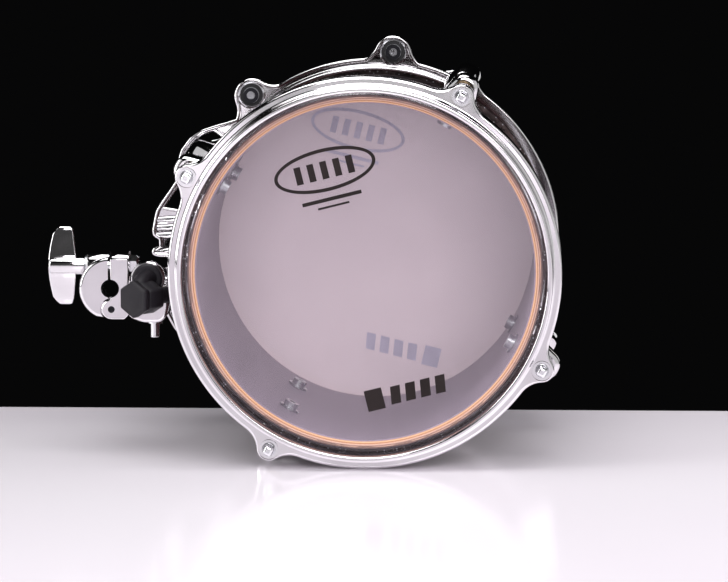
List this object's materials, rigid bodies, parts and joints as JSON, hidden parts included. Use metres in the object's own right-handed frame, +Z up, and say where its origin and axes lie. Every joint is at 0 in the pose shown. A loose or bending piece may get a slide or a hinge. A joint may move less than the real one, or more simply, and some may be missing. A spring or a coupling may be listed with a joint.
{
  "type": "tom tom drum",
  "caption": "Small rack tom drum with die-cast hoops, clear heads and a curved suspension mount carrying a hinged clamp that grips a stand's rod.",
  "frame": {"origin": "centre of the rod clamp's bore, half way along it", "axes": "+X to the right seen from the front head, +Y along the drum's axis from the front head to the rear head, +Z up as the drum lies"},
  "size_m": [0.2949, 0.206, 0.2356],
  "materials": {
    "shell": "dark gloss lacquer outside, pale clear-coated wood at the bearing edges",
    "vent_grommet": "polished",
    "badge_plate": "satin, blank",
    "head_front": "thin hazy film with a glossy face",
    "head_rear": "thin hazy film with a glossy face",
    "flesh_hoops": "satin, dark with grease and dust",
    "hoops": "bright plating over a casting",
    "lugs": "bright plating over a casting",
    "gaskets": "matt",
    "steel_fixings": "zinc plated",
    "swivel_nuts": "turned",
    "rods": "plated steel, fine wear on the square drives",
    "mount_bar": "bright plating over a casting",
    "mount_rubber": "matt",
    "bracket": "bright plating over a casting",
    "isolator": "fine satin moulded nylon",
    "clamp": "bright plating over a casting, dull inside the bore",
    "wing": "bright plating over a casting"
  },
  "bodies": {
    "drum": {"shell": "shell", "vent_grommet": "vent_grommet", "badge_plate": "badge_plate", "head_front": "head_front", "head_rear": "head_rear", "flesh_hoop_front": "flesh_hoops", "flesh_hoop_rear": "flesh_hoops", "hoop_front": "hoops", "hoop_rear": "hoops", "lug_front_1": "lugs", "lug_front_2": "lugs", "lug_front_3": "lugs", "lug_front_4": "lugs", "lug_rear_1": "lugs", "lug_rear_2": "lugs", "lug_rear_3": "lugs", "lug_rear_4": "lugs", "lug_gaskets": "gaskets", "lug_screws": "steel_fixings", "lug_washers": "steel_fixings", "swivel_nuts": "swivel_nuts", "rod_washers": "steel_fixings", "mount_bar": "mount_bar", "mount_grommets": "mount_rubber", "mount_studs": "steel_fixings", "mount_nuts": "steel_fixings", "bracket_arm": "bracket", "arm_screws": "steel_fixings", "isolator_disc": "isolator", "isolator_neck": "isolator", "hex_knob": "isolator", "cone_bush": "isolator", "bracket_stud": "bracket", "fixed_jaw": "clamp", "hinge_pin": "steel_fixings", "clamp_bolt": "clamp"},
    "rod_front_1": {"rod_front_1": "rods"},
    "rod_front_2": {"rod_front_2": "rods"},
    "rod_front_3": {"rod_front_3": "rods"},
    "rod_front_4": {"rod_front_4": "rods"},
    "rod_rear_1": {"rod_rear_1": "rods"},
    "rod_rear_2": {"rod_rear_2": "rods"},
    "rod_rear_3": {"rod_rear_3": "rods"},
    "rod_rear_4": {"rod_rear_4": "rods"},
    "clamp_washer": {"clamp_washer": "steel_fixings"},
    "wing_nut": {"wing_nut": "wing"},
    "hinged_jaw": {"hinged_jaw": "clamp"}
  },
  "joints": [
    {"name": "rod_front_1_turn", "type": "hinge", "parent": "drum", "child": "rod_front_1", "pos_m": [0.20172, -0.0485, 0.11401], "axis": [0, -1, 0], "continuous": true},
    {"name": "rod_front_2_turn", "type": "hinge", "parent": "drum", "child": "rod_front_2", "pos_m": [0.04849, -0.0485, 0.06862], "axis": [0, -1, 0], "continuous": true},
    {"name": "rod_front_3_turn", "type": "hinge", "parent": "drum", "child": "rod_front_3", "pos_m": [0.09388, -0.0485, -0.08461], "axis": [0, -1, 0], "continuous": true},
    {"name": "rod_front_4_turn", "type": "hinge", "parent": "drum", "child": "rod_front_4", "pos_m": [0.24711, -0.0485, -0.03922], "axis": [0, -1, 0], "continuous": true},
    {"name": "rod_rear_1_turn", "type": "hinge", "parent": "drum", "child": "rod_rear_1", "pos_m": [0.20172, 0.1095, 0.11401], "axis": [0, 1, 0], "continuous": true},
    {"name": "rod_rear_2_turn", "type": "hinge", "parent": "drum", "child": "rod_rear_2", "pos_m": [0.04849, 0.1095, 0.06862], "axis": [0, 1, 0], "continuous": true},
    {"name": "rod_rear_3_turn", "type": "hinge", "parent": "drum", "child": "rod_rear_3", "pos_m": [0.09388, 0.1095, -0.08461], "axis": [0, 1, 0], "continuous": true},
    {"name": "rod_rear_4_turn", "type": "hinge", "parent": "drum", "child": "rod_rear_4", "pos_m": [0.24711, 0.1095, -0.03922], "axis": [0, 1, 0], "continuous": true},
    {"name": "washer_slide", "type": "slide", "parent": "drum", "child": "clamp_washer", "axis": [-1, 0, 0], "range_m": [0, 0.004]},
    {"name": "wing_nut_turn", "type": "hinge", "parent": "clamp_washer", "child": "wing_nut", "pos_m": [-0.0172, 0, 0.012], "axis": [-1, 0, 0], "range_deg": [0, 1440]},
    {"name": "jaw_open", "type": "hinge", "parent": "drum", "child": "hinged_jaw", "pos_m": [0.0007, 0, -0.012], "axis": [0, -1, 0], "range_deg": [0, 6.88]}
  ],
  "couplings": [
    {"joint": "washer_slide", "follows": "wing_nut_turn", "m_per_rad": 0.00015915},
    {"joint": "jaw_open", "follows": "wing_nut_turn", "ratio": 0.0047747}
  ]
}
